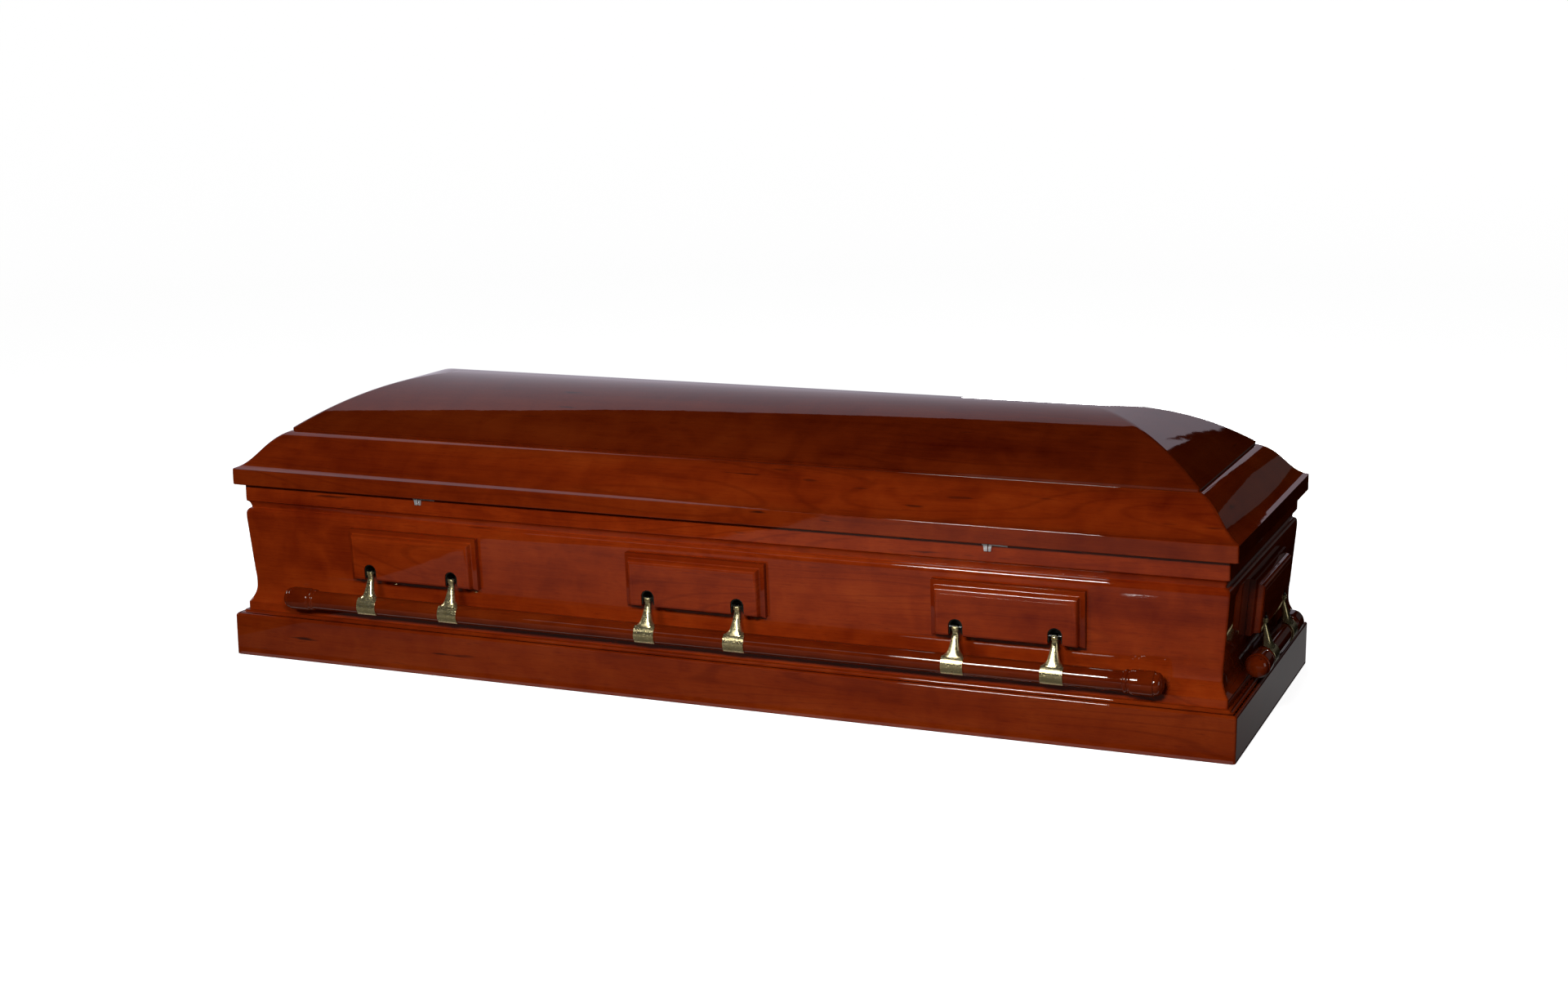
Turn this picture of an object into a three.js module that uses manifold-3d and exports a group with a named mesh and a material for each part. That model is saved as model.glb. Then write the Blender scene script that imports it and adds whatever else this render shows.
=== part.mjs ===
// Hardwood funeral casket with a full-length crowned lid, moulded base, raised side panels
// and four swing-bar handles. Millimetres, +Z up, X along the casket, -Y is the long front.
// The origin is the middle of the underside.
import * as THREE from 'three';
import { mergeVertices } from 'three/addons/utils/BufferGeometryUtils.js';
import Module from 'manifold-3d';

const wasm = await Module();
wasm.setup();

// Overall size and fits
const LENGTH = 2100;              // over the base moulding
const WIDTH = 712;
const HEIGHT = 566;
const GAP = 0.3;                  // clearance between pieces that touch
const MITRE_RELIEF = 0.2;         // taken off each board along its run at a mitre
const CURVE_STEPS = 5;            // segments of each curve in a moulding's outline, twice on an arc
const SMALL_ARC_STEPS = 3;        // the same on slots and on the arms' small rounds

// Heights of the main levels, above the underside
const BASE_TOP = 95;
const SEAM = 362;                 // underside of the lid's rim
const CROWN_SEAT = 466;           // where the crown boards rest on the rim boards

// Insets from the base's outer face
const BASE_THICKNESS = 20;
const WAIST_INSET = 33.5;
const SIDE_FOOT_INSET = BASE_THICKNESS + GAP;
const SIDE_INNER_INSET = 52;
const TOP_BAND_INSET = 24;
const RIM_INSET = 6.5;
const CROWN_INSET = 98;

// The flat land of the side boards that carries the raised panels
const LAND = { lowInset: 31.7, lowZ: 178, highInset: 23.5, highZ: 288 };
const LAND_TILT = Math.atan2(LAND.lowInset - LAND.highInset, LAND.highZ - LAND.lowZ);

// Bottom board, housed in a groove of the side boards
const FLOOR = { bottom: 26, thickness: 18, grooveInset: 44 };

// Lid crown: a parabola that is level along the middle of the lid
const CROWN_THICKNESS = 18;
const CROWN_EDGE = 472;           // height of the crown's lip
const CROWN_STEPS = 12;
const CROWN_SEAT_WIDTH = 14;

// Raised panels, three on each long side and one on each end
const PANEL = { width: 292, height: 106.4, middleZ: 235, thickness: 26.5, edge: 10.5 };
const PANEL_PITCH = 623.5;
const PANEL_FIELD_INSET = 21.5;
const PANEL_FOOT_BEVEL = 9.5;     // the bevel along the lower edge is narrower

// Slots in the panels for the handle arms, and the black lugs that line them
const SLOT_RADIUS = 13.8;
const SLOT_CENTRE_V = -28;        // up the panel's face from its middle
const LUG_WALL = 2.6;
const LUG_BACK = 2.5;
const LUG_FRONT = 25.4;
const LUG_LINK_HALF = 5;          // half height of the strip that joins a pair of lugs

// Handles: pivot, arms and bars
const PIVOT = { inset: 6, z: 203, pinRadius: 3, boreRadius: 3.5 };
const ARM_OFFSET = 94;            // of each arm from its panel's middle
const EYE = { radius: 6.5, width: 11.5 };
const BAR = { z: 134, radius: 19, sides: 14 };
const DOME = { radius: 21.5, length: 16 };
const PIN_SIDES = 8;
const STEM_SIDES = 6;
const LONG_BAR_HALF = 920;
const SHORT_BAR_HALF = 192;
const STRAP = { inner: 19.6, outer: 21.6, halfWidth: 21.2, from: 75, to: 228 };

// Lid catches under the rim of the front
const CATCH = { width: 19, height: 14, depth: 4.5, top: SEAM - 2, plateLength: 30, plateHeight: 4 };
const CATCH_PLATE_DEPTH = 1.6;
const CATCH_X = [-611, 583];

const LACQUERED_WOOD = { color: 0x6b2412, roughness: 0.12, metalness: 0 };
const BRASS = { color: 0xb59a55, roughness: 0.3, metalness: 1 };
const BLACK_METAL = { color: 0x16140f, roughness: 0.35, metalness: 0.4 };
const BRIGHT_METAL = { color: 0xc9ccce, roughness: 0.2, metalness: 1 };
const BARE_WOOD = { color: 0x8a5a34, roughness: 0.6, metalness: 0 };

// The four sides, each seen as a front that is turned about Z
const SIDES = [
  { name: 'front', turn: 0, halfRun: LENGTH / 2, halfDepth: WIDTH / 2 },
  { name: 'right_end', turn: Math.PI / 2, halfRun: WIDTH / 2, halfDepth: LENGTH / 2 },
  { name: 'back', turn: Math.PI, halfRun: LENGTH / 2, halfDepth: WIDTH / 2 },
  { name: 'left_end', turn: -Math.PI / 2, halfRun: WIDTH / 2, halfDepth: LENGTH / 2 },
];

const casket = new THREE.Group();

function piece(name, geometry, finish) {
  geometry.computeVertexNormals();
  const mesh = new THREE.Mesh(geometry, new THREE.MeshStandardMaterial(finish));
  mesh.name = name;
  return mesh;
}

function toManifold(geometry) {
  const bare = geometry.clone();
  bare.deleteAttribute('normal');
  bare.deleteAttribute('uv');
  const merged = mergeVertices(bare, 1e-4);
  return new wasm.Manifold(new wasm.Mesh({
    numProp: 3,
    vertProperties: new Float32Array(merged.attributes.position.array),
    triVerts: new Uint32Array(merged.index.array),
  }));
}

function toGeometry(manifold) {
  const mesh = manifold.getMesh();
  const geometry = new THREE.BufferGeometry();
  geometry.setAttribute('position', new THREE.BufferAttribute(mesh.vertProperties, 3));
  geometry.setIndex(new THREE.BufferAttribute(mesh.triVerts, 1));
  return geometry;
}

// Moves every vertex of a geometry by a function of its place
function reshape(geometry, place) {
  const at = geometry.attributes.position;
  for (let i = 0; i < at.count; i += 1) {
    const [x, y, z] = place(at.getX(i), at.getY(i), at.getZ(i));
    at.setXYZ(i, x, y, z);
  }
  return geometry;
}

// A section drawn as (inset, height) and run along X, with mitred ends where halfRun is given
// by the inset, or square ends where it isn't
function runAlongX(section, halfRunAt, steps = CURVE_STEPS) {
  const geometry = new THREE.ExtrudeGeometry(section, {
    depth: 1, steps: 1, bevelEnabled: false, curveSegments: steps,
  });
  return reshape(geometry, (inset, z, t) => [(2 * t - 1) * halfRunAt(inset), inset, z]);
}

function mitredBoard(section, side) {
  const geometry = runAlongX(section, (inset) => side.halfRun - inset - MITRE_RELIEF);
  return geometry.translate(0, -side.halfDepth, 0);
}

// Base moulding: a flat face, a rounded nose and a small cove up to the side boards
function baseSection() {
  const nose = 5;
  const cove = 5;
  const noseZ = BASE_TOP - nose - 6;
  const section = new THREE.Shape();
  section.moveTo(0, 0);
  section.lineTo(0, noseZ);
  section.absarc(nose, noseZ, nose, Math.PI, Math.PI / 2, true);
  section.lineTo(nose + 4, noseZ + nose + 0.5);
  section.absarc(nose + 4, noseZ + nose + 0.5 + cove, cove, -Math.PI / 2, 0, false);
  section.lineTo(BASE_THICKNESS, BASE_TOP);
  section.lineTo(BASE_THICKNESS, 0);
  return section;
}

// Side board: foot, coved waist, sloping land, rounded shoulder, a notch and the top band
function sideSection() {
  const foot = 8;
  const section = new THREE.Shape();
  section.moveTo(SIDE_FOOT_INSET, foot);
  section.lineTo(SIDE_FOOT_INSET, 111);
  section.bezierCurveTo(26, 119, WAIST_INSET, 128, WAIST_INSET, 148);
  section.bezierCurveTo(WAIST_INSET, 162, 33, 168, LAND.lowInset, LAND.lowZ);
  section.lineTo(LAND.highInset, LAND.highZ);
  section.bezierCurveTo(23, 297, 27, 304, 32, 312);
  section.bezierCurveTo(30.5, 319, 28, 323.5, TOP_BAND_INSET, 325.5);
  section.lineTo(TOP_BAND_INSET, SEAM - GAP);
  section.lineTo(SIDE_INNER_INSET, SEAM - GAP);
  section.lineTo(SIDE_INNER_INSET, FLOOR.bottom + FLOOR.thickness + GAP);
  section.lineTo(FLOOR.grooveInset, FLOOR.bottom + FLOOR.thickness + GAP);
  section.lineTo(FLOOR.grooveInset, FLOOR.bottom - GAP);
  section.lineTo(SIDE_INNER_INSET, FLOOR.bottom - GAP);
  section.lineTo(SIDE_INNER_INSET, foot);
  return section;
}

// Lid rim: a square nose, then a long ogee up to the crown, hollow underneath
function rimSection() {
  const nose = 4;
  const noseTop = 396;
  const seatInner = CROWN_INSET + CROWN_SEAT_WIDTH;
  const section = new THREE.Shape();
  section.moveTo(RIM_INSET, SEAM);
  section.lineTo(RIM_INSET, noseTop - nose);
  section.absarc(RIM_INSET + nose, noseTop - nose, nose, Math.PI, Math.PI / 2, true);
  section.bezierCurveTo(48, 404, 56, 455, CROWN_INSET - 1, CROWN_SEAT);
  section.lineTo(seatInner, CROWN_SEAT);
  section.lineTo(seatInner, CROWN_SEAT - 14);
  section.bezierCurveTo(82, 442, 76, 396, SIDE_INNER_INSET, 384);
  section.lineTo(SIDE_INNER_INSET, SEAM);
  return section;
}

// Lid crown: a lip on the rim boards, then the parabola up to the middle of the lid
function crownSection(topInset) {
  const middle = WIDTH / 2;
  const fall = (HEIGHT - CROWN_EDGE) / (middle - CROWN_INSET) ** 2;
  const top = (inset) => HEIGHT - fall * (middle - inset) ** 2;
  const seatInner = CROWN_INSET + CROWN_SEAT_WIDTH;
  const insetAt = (step) => CROWN_INSET + (topInset - CROWN_INSET) * step / CROWN_STEPS;
  const section = new THREE.Shape();
  section.moveTo(CROWN_INSET, CROWN_SEAT + GAP);
  for (let step = 0; step <= CROWN_STEPS; step += 1) {
    section.lineTo(insetAt(step), top(insetAt(step)));
  }
  for (let step = CROWN_STEPS; insetAt(step) > seatInner + 10; step -= 1) {
    section.lineTo(insetAt(step), top(insetAt(step)) - CROWN_THICKNESS);
  }
  section.lineTo(seatInner, CROWN_SEAT + GAP);
  return section;
}

// A place given by its inset and height, in a raised panel's own frame: up its face and out of it
function onPanelFace(inset, z) {
  const landAtMiddle = LAND.lowInset - (PANEL.middleZ - LAND.lowZ) * Math.tan(LAND_TILT);
  const inward = inset - landAtMiddle;
  const up = z - PANEL.middleZ;
  return {
    v: -Math.sin(LAND_TILT) * inward + Math.cos(LAND_TILT) * up,
    w: -Math.cos(LAND_TILT) * inward - Math.sin(LAND_TILT) * up,
  };
}

// The U of a slot, from below the panel's edge up round the arm's eye
function slotShape(radius, foot) {
  const shape = new THREE.Shape();
  shape.moveTo(-radius, foot);
  shape.lineTo(radius, foot);
  shape.absarc(0, SLOT_CENTRE_V, radius, 0, Math.PI, false);
  return shape;
}

function slotSolid(radius, foot, from, to) {
  const options = {
    depth: to - from, steps: 1, bevelEnabled: false, curveSegments: SMALL_ARC_STEPS,
  };
  return toManifold(new THREE.ExtrudeGeometry(slotShape(radius, foot), options)
    .translate(0, 0, from));
}

function boxSolid(width, height, depth, x, y, z) {
  return toManifold(new THREE.BoxGeometry(width, height, depth).translate(x, y, z));
}

// Raised panel: a four-sided form whose moulding steps up from the edge to a flat field,
// with two slots for the arms and a shallow rebate behind for the lugs' joining strip
function raisedPanel() {
  const moulding = [
    [0, 0], [0, PANEL.edge], [2, 12.4], [8, 15], [9.4, 17],
    [12.5, 23.5], [16, 26], [PANEL_FIELD_INSET, PANEL.thickness],
  ];
  const half = PANEL.width / 2;
  const profile = [new THREE.Vector2(0, 0)];
  moulding.forEach(([inset, rise]) => profile.push(new THREE.Vector2(half - inset, rise)));
  profile.push(new THREE.Vector2(0, PANEL.thickness));
  const footShare = PANEL_FOOT_BEVEL / PANEL_FIELD_INSET;
  const turned = new THREE.LatheGeometry(profile, 4, Math.PI / 4);
  const block = reshape(turned, (x, y, z) => {
    const reach = Math.hypot(x, z);
    if (reach < 1e-6) return [0, 0, y];
    const inset = half - reach;
    const up = z < 0;
    const v = up ? PANEL.height / 2 - inset : inset * footShare - PANEL.height / 2;
    return [Math.sign(x) * reach, v, y];
  });
  const below = -PANEL.height / 2 - 5;
  const link = LUG_LINK_HALF + GAP;
  const pivotV = onPanelFace(PIVOT.inset, PIVOT.z).v;
  let solid = toManifold(block)
    .subtract(boxSolid(2 * ARM_OFFSET, 2 * link, 2 * (LUG_BACK + GAP), 0, pivotV, 0));
  [-ARM_OFFSET, ARM_OFFSET].forEach((x) => {
    solid = solid.subtract(slotSolid(SLOT_RADIUS, below, -1, PANEL.thickness + 1)
      .translate([x, 0, 0]));
  });
  return toGeometry(solid);
}

// A pair of black lugs: each a U-shaped liner with a back and a pivot pin across it
function lugPair() {
  const { v: pivotV, w: pivotW } = onPanelFace(PIVOT.inset, PIVOT.z);
  const outer = SLOT_RADIUS - GAP;
  const inner = outer - LUG_WALL;
  const foot = PANEL_FOOT_BEVEL - PANEL.height / 2;
  const front = LUG_FRONT - GAP;
  const pin = toManifold(new THREE.CylinderGeometry(
    PIVOT.pinRadius, PIVOT.pinRadius, 2 * outer - LUG_WALL, PIN_SIDES).rotateZ(Math.PI / 2));
  let pair = boxSolid(2 * ARM_OFFSET, 2 * LUG_LINK_HALF, LUG_BACK, 0, pivotV, LUG_BACK / 2);
  [-ARM_OFFSET, ARM_OFFSET].forEach((x) => {
    const lug = slotSolid(outer, foot, 0, front)
      .subtract(slotSolid(inner, foot - 5, LUG_BACK, front + 5))
      .add(pin.translate([0, pivotV, pivotW - GAP]));
    pair = pair.add(lug.translate([x, 0, 0]));
  });
  return toGeometry(pair);
}

// Cast brass arm: an eye on the pin, a stem that widens downwards and a strap round the bar
function handleArm() {
  const eyeShape = new THREE.Shape();
  eyeShape.absarc(PIVOT.inset, PIVOT.z, EYE.radius, 0, 2 * Math.PI, false);
  const bore = new THREE.Path();
  bore.absarc(PIVOT.inset, PIVOT.z, PIVOT.boreRadius, 0, 2 * Math.PI, true);
  eyeShape.holes.push(bore);
  const eye = runAlongX(eyeShape, () => EYE.width / 2, PIN_SIDES / 2);

  const from = THREE.MathUtils.degToRad(STRAP.from);
  const to = THREE.MathUtils.degToRad(STRAP.to);
  const strapShape = new THREE.Shape();
  strapShape.absarc(0, BAR.z, STRAP.outer, from, to, false);
  strapShape.absarc(0, BAR.z, STRAP.inner, to, from, true);
  const strap = runAlongX(strapShape, () => STRAP.halfWidth, SMALL_ARC_STEPS);

  // Stem stations from the strap up to the eye: height, front inset, back inset, width
  const stations = [
    [150, -14.5, 5, 39], [156, -12.1, 5.4, 27], [165, -8.7, 6, 20.5],
    [180, -3.5, 7.5, 14], [198.5, 0.8, 10.5, 10.5],
  ];
  const last = stations.length - 1;
  const stemRound = new THREE.CylinderGeometry(1, 1, last, STEM_SIDES, last);
  const stem = reshape(stemRound.rotateX(Math.PI / 2), (x, y, z) => {
    const [height, front, back, width] = stations[Math.round(z + last / 2)];
    return [x * width / 2, (front + back) / 2 + y * (back - front) / 2, height];
  });

  const insideStrap = (STRAP.inner + STRAP.outer) / 2;
  const barRoom = new THREE.CylinderGeometry(
    insideStrap, insideStrap, 4 * STRAP.halfWidth, BAR.sides)
    .rotateZ(Math.PI / 2).translate(0, 0, BAR.z);
  return toGeometry(
    toManifold(stem).subtract(toManifold(barRoom)).add(toManifold(eye)).add(toManifold(strap)));
}

// Turned bar with a bead, a barrel and a domed end on each finial, all one piece of wood
function handleBar(halfLength) {
  const domeSteps = 3;
  const half = [];
  for (let step = 0; step <= domeSteps; step += 1) {
    const angle = step / domeSteps * Math.PI / 2;
    half.push([DOME.radius * Math.sin(angle), halfLength - DOME.length * (1 - Math.cos(angle))]);
  }
  half.push([24, halfLength - 18], [24, halfLength - 59], [20, halfLength - 61]);
  half.push([21.6, halfLength - 63], [21.6, halfLength - 71], [BAR.radius, halfLength - 73]);
  const upper = half.map(([radius, along]) => new THREE.Vector2(radius, along));
  const lower = half.map(([radius, along]) => new THREE.Vector2(radius, -along));
  const profile = [...lower, ...upper.reverse()];
  return new THREE.LatheGeometry(profile, BAR.sides).rotateZ(-Math.PI / 2);
}

// Lid catch: a small folded tab under the rim with a thin plate beside it
function lidCatch() {
  const half = CATCH.width / 2;
  const folded = new THREE.Shape();
  folded.moveTo(-half, 0);
  folded.lineTo(-half, -CATCH.depth * 0.7);
  folded.lineTo(0, -CATCH.depth);
  folded.lineTo(half, -CATCH.depth * 0.7);
  folded.lineTo(half, 0);
  const taper = 0.8;
  const tab = reshape(
    new THREE.ExtrudeGeometry(folded, { depth: CATCH.height, steps: 1, bevelEnabled: false }),
    (x, y, z) => [x * (taper + (1 - taper) * z / CATCH.height), y, z - CATCH.height],
  );
  const plate = boxSolid(
    CATCH.plateLength, CATCH_PLATE_DEPTH, CATCH.plateHeight,
    half + CATCH.plateLength / 2 - 1, -CATCH_PLATE_DEPTH / 2, -CATCH.plateHeight / 2,
  );
  return toGeometry(toManifold(tab).add(plate));
}

SIDES.forEach((side) => {
  const long = side.halfRun > side.halfDepth;
  const wall = new THREE.Group();
  wall.rotation.z = side.turn;
  casket.add(wall);
  const name = side.name;

  wall.add(piece(`base_moulding_${name}`, mitredBoard(baseSection(), side), LACQUERED_WOOD));
  wall.add(piece(`side_board_${name}`, mitredBoard(sideSection(), side), LACQUERED_WOOD));
  wall.add(piece(`lid_rim_${name}`, mitredBoard(rimSection(), side), LACQUERED_WOOD));
  const crownTop = long ? WIDTH / 2 - GAP / 2 : WIDTH / 2 - 1.2;
  wall.add(piece(`lid_crown_${name}`, mitredBoard(crownSection(crownTop), side), LACQUERED_WOOD));

  const barHalf = long ? LONG_BAR_HALF : SHORT_BAR_HALF;
  const bar = piece(`handle_bar_${name}`, handleBar(barHalf), LACQUERED_WOOD);
  bar.position.set(0, -side.halfDepth, BAR.z);
  wall.add(bar);

  const landInset = LAND.lowInset - (PANEL.middleZ - LAND.lowZ) * Math.tan(LAND_TILT);
  const panelCentres = long ? [-PANEL_PITCH, 0, PANEL_PITCH] : [0];
  panelCentres.forEach((centre, index) => {
    const place = new THREE.Group();
    place.position.set(centre, landInset - side.halfDepth, PANEL.middleZ);
    place.rotation.x = Math.PI / 2 + LAND_TILT;
    wall.add(place);
    const panel = piece(`raised_panel_${name}_${index + 1}`, raisedPanel(), LACQUERED_WOOD);
    panel.position.z = GAP;
    const lugs = piece(`arm_lugs_${name}_${index + 1}`, lugPair(), BLACK_METAL);
    lugs.position.z = GAP;
    place.add(panel, lugs);

    [-ARM_OFFSET, ARM_OFFSET].forEach((offset, end) => {
      const arm = piece(`handle_arm_${name}_${2 * index + end + 1}`, handleArm(), BRASS);
      arm.position.set(centre + offset, -side.halfDepth, 0);
      wall.add(arm);
    });
  });
});

const floorLength = LENGTH - 2 * (FLOOR.grooveInset + GAP);
const floorWidth = WIDTH - 2 * (FLOOR.grooveInset + GAP);
const floor = piece(
  'bottom_board', new THREE.BoxGeometry(floorLength, floorWidth, FLOOR.thickness), BARE_WOOD);
floor.position.z = FLOOR.bottom + FLOOR.thickness / 2;
casket.add(floor);

CATCH_X.forEach((x, index) => {
  const lidHook = piece(`lid_catch_${index + 1}`, lidCatch(), BRIGHT_METAL);
  lidHook.position.set(x, TOP_BAND_INSET - GAP - WIDTH / 2, CATCH.top);
  casket.add(lidHook);
});

export default casket;
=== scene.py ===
from math import atan, copysign, cos, pi, radians, sin

import bmesh
import bpy
from bpy.props import FloatProperty, FloatVectorProperty, IntProperty, PointerProperty
from mathutils import Matrix, Vector
from mathutils.geometry import interpolate_bezier


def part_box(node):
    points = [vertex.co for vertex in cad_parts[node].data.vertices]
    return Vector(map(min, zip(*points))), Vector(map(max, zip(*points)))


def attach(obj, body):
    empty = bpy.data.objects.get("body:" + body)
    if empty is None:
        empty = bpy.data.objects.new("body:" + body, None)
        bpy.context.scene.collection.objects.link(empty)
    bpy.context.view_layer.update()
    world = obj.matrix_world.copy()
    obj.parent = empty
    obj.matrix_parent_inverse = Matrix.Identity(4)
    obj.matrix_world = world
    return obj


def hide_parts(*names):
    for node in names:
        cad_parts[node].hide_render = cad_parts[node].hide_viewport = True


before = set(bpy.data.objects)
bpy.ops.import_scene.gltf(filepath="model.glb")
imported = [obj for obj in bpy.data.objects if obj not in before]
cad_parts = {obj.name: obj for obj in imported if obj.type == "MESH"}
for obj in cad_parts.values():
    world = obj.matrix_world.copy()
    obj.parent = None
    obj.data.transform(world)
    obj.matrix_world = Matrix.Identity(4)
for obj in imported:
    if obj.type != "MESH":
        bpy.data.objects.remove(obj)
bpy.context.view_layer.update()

bl_info = {
    "name": "Lacquered Casket",
    "version": (1, 0, 0),
    "blender": (4, 5, 0),
    "location": "3D View > Sidebar > Casket",
    "description": "Mitred boards, raised panels and swing-bar handles of a lacquered hardwood casket",
    "category": "Add Mesh",
}

MM = 0.001

# Overall sizes, taken from the frame
HALF_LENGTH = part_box("base_moulding_right_end")[1].x
HALF_WIDTH = -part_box("base_moulding_front")[0].y
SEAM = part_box("lid_rim_front")[0].z
CROWN_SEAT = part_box("lid_rim_front")[1].z
CROWN_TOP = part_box("lid_crown_front")[1].z
BAR_REACH = -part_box("handle_bar_front")[0].y - HALF_WIDTH

# The four sides, each made as a front and turned about Z: name, quarter turns, half run, half depth
SIDES = (
    ("front", 0, HALF_LENGTH, HALF_WIDTH),
    ("right_end", 1, HALF_WIDTH, HALF_LENGTH),
    ("back", 2, HALF_LENGTH, HALF_WIDTH),
    ("left_end", 3, HALF_WIDTH, HALF_LENGTH),
)

# Places that the pieces share, in metres: insets count inwards from the base's outer face
LAND_LOW = (31.7 * MM, 178 * MM)
LAND_HIGH = (23.5 * MM, 288 * MM)
LAND_TILT = (LAND_LOW[0] - LAND_HIGH[0]) / (LAND_HIGH[1] - LAND_LOW[1])
LAND_ANGLE = atan(LAND_TILT)
PANEL_MIDDLE = 235 * MM
PANEL_INSET = LAND_LOW[0] - (PANEL_MIDDLE - LAND_LOW[1]) * LAND_TILT
PANEL_PITCH = 623.5 * MM
PANEL_GAP = 0.3 * MM
PANEL_BAND = 8 * MM
FOOT_BEVEL = 9.5 * MM
ARM_OFFSET = 94 * MM
PIVOT_INSET = 6 * MM
PIVOT_HEIGHT = 203 * MM
BAR_HEIGHT = 134 * MM
SLOT_CENTRE = -28 * MM
COLLAR_TOP = 204.8 * MM

# Turning and rounding
CURVE_STEPS = 14
ARC_STEPS = 4
ARC_HANDLE = 0.5523           # handle length of a quarter arc as a cubic curve
MITRE_STEPS = 4
CAP_STUB = 60 * MM            # length swept past a mitre before it is cut off
SMOOTH_ANGLE = radians(32)
CORNER_ANGLE = radians(6)     # edges flatter than this aren't rounded
TOUCH = 1e-6


# Properties

def length_property(name, description, default):
    """A length in the sidebar."""
    return FloatProperty(
        name=name, description=description, default=default, min=0.1 * MM, unit="LENGTH")


def colour_property(name, description, default):
    """A colour in the sidebar."""
    return FloatVectorProperty(
        name=name, description=description, default=default, size=3, min=0, max=1, subtype="COLOR")


class CasketSizes(bpy.types.PropertyGroup):
    """Sizes of the casket's visible detail"""
    corner_round: length_property("Corner Round", "Rounding of the casket's mitred corners", 5 * MM)
    nose_round: length_property("Nose Round", "Rounding of the lid rim's upper arris", 2.6 * MM)
    arris_round: length_property("Arris Round", "Rounding of the boards' other arrises", 1.8 * MM)
    panel_width: length_property("Panel Width", "Width of a raised panel", 292 * MM)
    panel_height: length_property("Panel Height", "Height of a raised panel", 106.4 * MM)
    bar_radius: length_property("Bar Radius", "Radius of a handle bar", 19 * MM)
    finial_radius: length_property("Finial Radius", "Radius of the barrel at a bar's end", BAR_REACH)
    slot_radius: length_property(
        "Slot Radius", "Half the width of a panel's slot for a handle arm", 13.8 * MM)
    strap_width: length_property("Strap Width", "Width of the strap round a bar", 42.4 * MM)
    turned_sides: IntProperty(
        name="Turned Sides", description="Facets round a turned piece", default=56, min=12)


class WoodLook(bpy.types.PropertyGroup):
    """Colours of the stained hardwood and its lacquer"""
    dark: colour_property("Dark Grain", "Stain in the dark grain", (0.115, 0.0078, 0.0012))
    middle: colour_property("Middle Grain", "Stain over most of the wood", (0.225, 0.0235, 0.0025))
    light: colour_property("Light Grain", "Stain in the light grain", (0.31, 0.042, 0.005))
    pore: colour_property("Pores", "Pores and mineral streaks", (0.012, 0.003, 0.002))
    bare: colour_property("Bare Wood", "Unstained bottom board", (0.5, 0.31, 0.17))
    lacquer_roughness: FloatProperty(
        name="Lacquer Roughness", description="Roughness of the lacquer's surface",
        default=0.022, min=0, max=1, subtype="FACTOR")


class MetalLook(bpy.types.PropertyGroup):
    """Colours of the handle arms, lugs and catches"""
    brass: colour_property("Brass", "Satin brass of the handle arms", (0.74, 0.63, 0.34))
    aged: colour_property("Aged Brass", "Darkened brass in patches", (0.36, 0.30, 0.13))
    black: colour_property("Lug Black", "Painted metal of the lugs", (0.006, 0.006, 0.004))
    rubbed: colour_property("Rubbed Black", "Paint of the lugs where rubbed", (0.03, 0.028, 0.02))
    bright: colour_property("Plated Metal", "Bright plating of the lid catches", (0.86, 0.86, 0.88))
    haze: colour_property("Plating Haze", "Dull patches in the plating", (0.42, 0.42, 0.42))


class StageLook(bpy.types.PropertyGroup):
    """Floor and lamps"""
    floor: colour_property("Floor", "Colour of the floor sweep", (0.8, 0.8, 0.8))
    key: FloatProperty(
        name="Key Light", description="Power of the right front light", default=42, min=0,
        subtype="POWER")
    strip: FloatProperty(
        name="Strip Light", description="Brightness of the soft box reflected in the mouldings",
        default=60, min=0)
    ambient: FloatProperty(
        name="Ambient Light", description="Brightness of the even light round the stage",
        default=0.06, min=0)


# Materials

def add_node(tree, kind, inputs=None, **settings):
    """A shader node with its settings made and its inputs set or linked."""
    made = tree.nodes.new(kind)
    for key, value in settings.items():
        setattr(made, key, value)
    for key, value in (inputs or {}).items():
        if isinstance(value, bpy.types.NodeSocket):
            tree.links.new(value, made.inputs[key])
        else:
            made.inputs[key].default_value = value
    return made


def maths(tree, operation, first, second=0.0):
    """The result of a Math node on two numbers or sockets."""
    return add_node(tree, "ShaderNodeMath", {0: first, 1: second}, operation=operation).outputs[0]


def noise(tree, place, scale, shift, detail=2.0, distortion=0.0):
    """A noise value whose scale differs along the three axes, per metre."""
    mapped = add_node(tree, "ShaderNodeMapping", {"Vector": place, "Scale": scale, "Location": shift})
    made = add_node(
        tree, "ShaderNodeTexNoise",
        {"Vector": mapped.outputs[0], "Scale": 1.0, "Detail": detail, "Distortion": distortion})
    return made.outputs["Fac"]


def weighted_sum(tree, parts):
    """0.5 plus each value's distance from 0.5 times its weight."""
    total = 0.5
    for value, weight in parts:
        offset = maths(tree, "MULTIPLY", maths(tree, "SUBTRACT", value, 0.5), weight)
        total = maths(tree, "ADD", offset, total)
    return total


def window(tree, value, low, high, to_low=0.0, to_high=1.0):
    """Maps a value between two limits, held at the ends."""
    return add_node(tree, "ShaderNodeMapRange", {
        "Value": value, "From Min": low, "From Max": high,
        "To Min": to_low, "To Max": to_high}, clamp=True).outputs[0]


def blend_colours(tree, share, first, second):
    """A Mix node on two colours. Its socket names repeat, so the colour sockets go by number."""
    return add_node(
        tree, "ShaderNodeMix", {0: share, 6: first, 7: second}, data_type="RGBA").outputs[2]


def bump(tree, height, strength, distance):
    """The normals of a surface that is raised by a height."""
    return add_node(tree, "ShaderNodeBump", {
        "Height": height, "Strength": strength, "Distance": distance}).outputs[0]


def opaque(colour, tone=1.0):
    """A colour times a tone, with full alpha."""
    return (*(Vector(colour) * tone), 1.0)


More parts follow.
